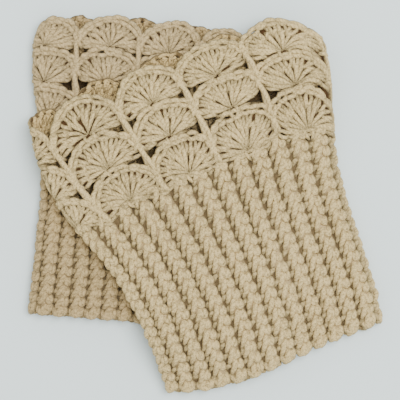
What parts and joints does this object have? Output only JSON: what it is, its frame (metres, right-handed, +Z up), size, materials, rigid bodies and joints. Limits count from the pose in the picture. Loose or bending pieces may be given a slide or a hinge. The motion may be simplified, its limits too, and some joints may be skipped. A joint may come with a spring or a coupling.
{
  "type": "pair of crocheted boot cuffs",
  "caption": "Pair of crocheted boot cuffs laid flat, one lying across the other: thick-yarn tubes with a ribbed band below and rounds of fan-shaped shells up to an open scalloped edge",
  "frame": {"origin": "On the table, at the middle of the box around both cuffs", "axes": "+Z up from the table; +Y roughly from the ribbed hems to the scalloped edges; +X across them to the right"},
  "size_m": [0.208, 0.2209, 0.0212],
  "materials": {
    "lower_ribbing": "matte wool-like yarn",
    "lower_fans_1": "matte wool-like yarn",
    "lower_fans_2": "matte wool-like yarn",
    "lower_fans_3": "matte wool-like yarn",
    "upper_ribbing": "matte wool-like yarn",
    "upper_fans_1": "matte wool-like yarn",
    "upper_fans_2": "matte wool-like yarn",
    "upper_fans_3": "matte wool-like yarn"
  },
  "bodies": {
    "root": {"lower_rib_band": "lower_ribbing", "lower_fan_round_1": "lower_fans_1", "lower_fan_round_2": "lower_fans_2", "lower_fan_round_3": "lower_fans_3", "upper_rib_band": "upper_ribbing", "upper_fan_round_1": "upper_fans_1", "upper_fan_round_2": "upper_fans_2", "upper_fan_round_3": "upper_fans_3"}
  },
  "joints": []
}
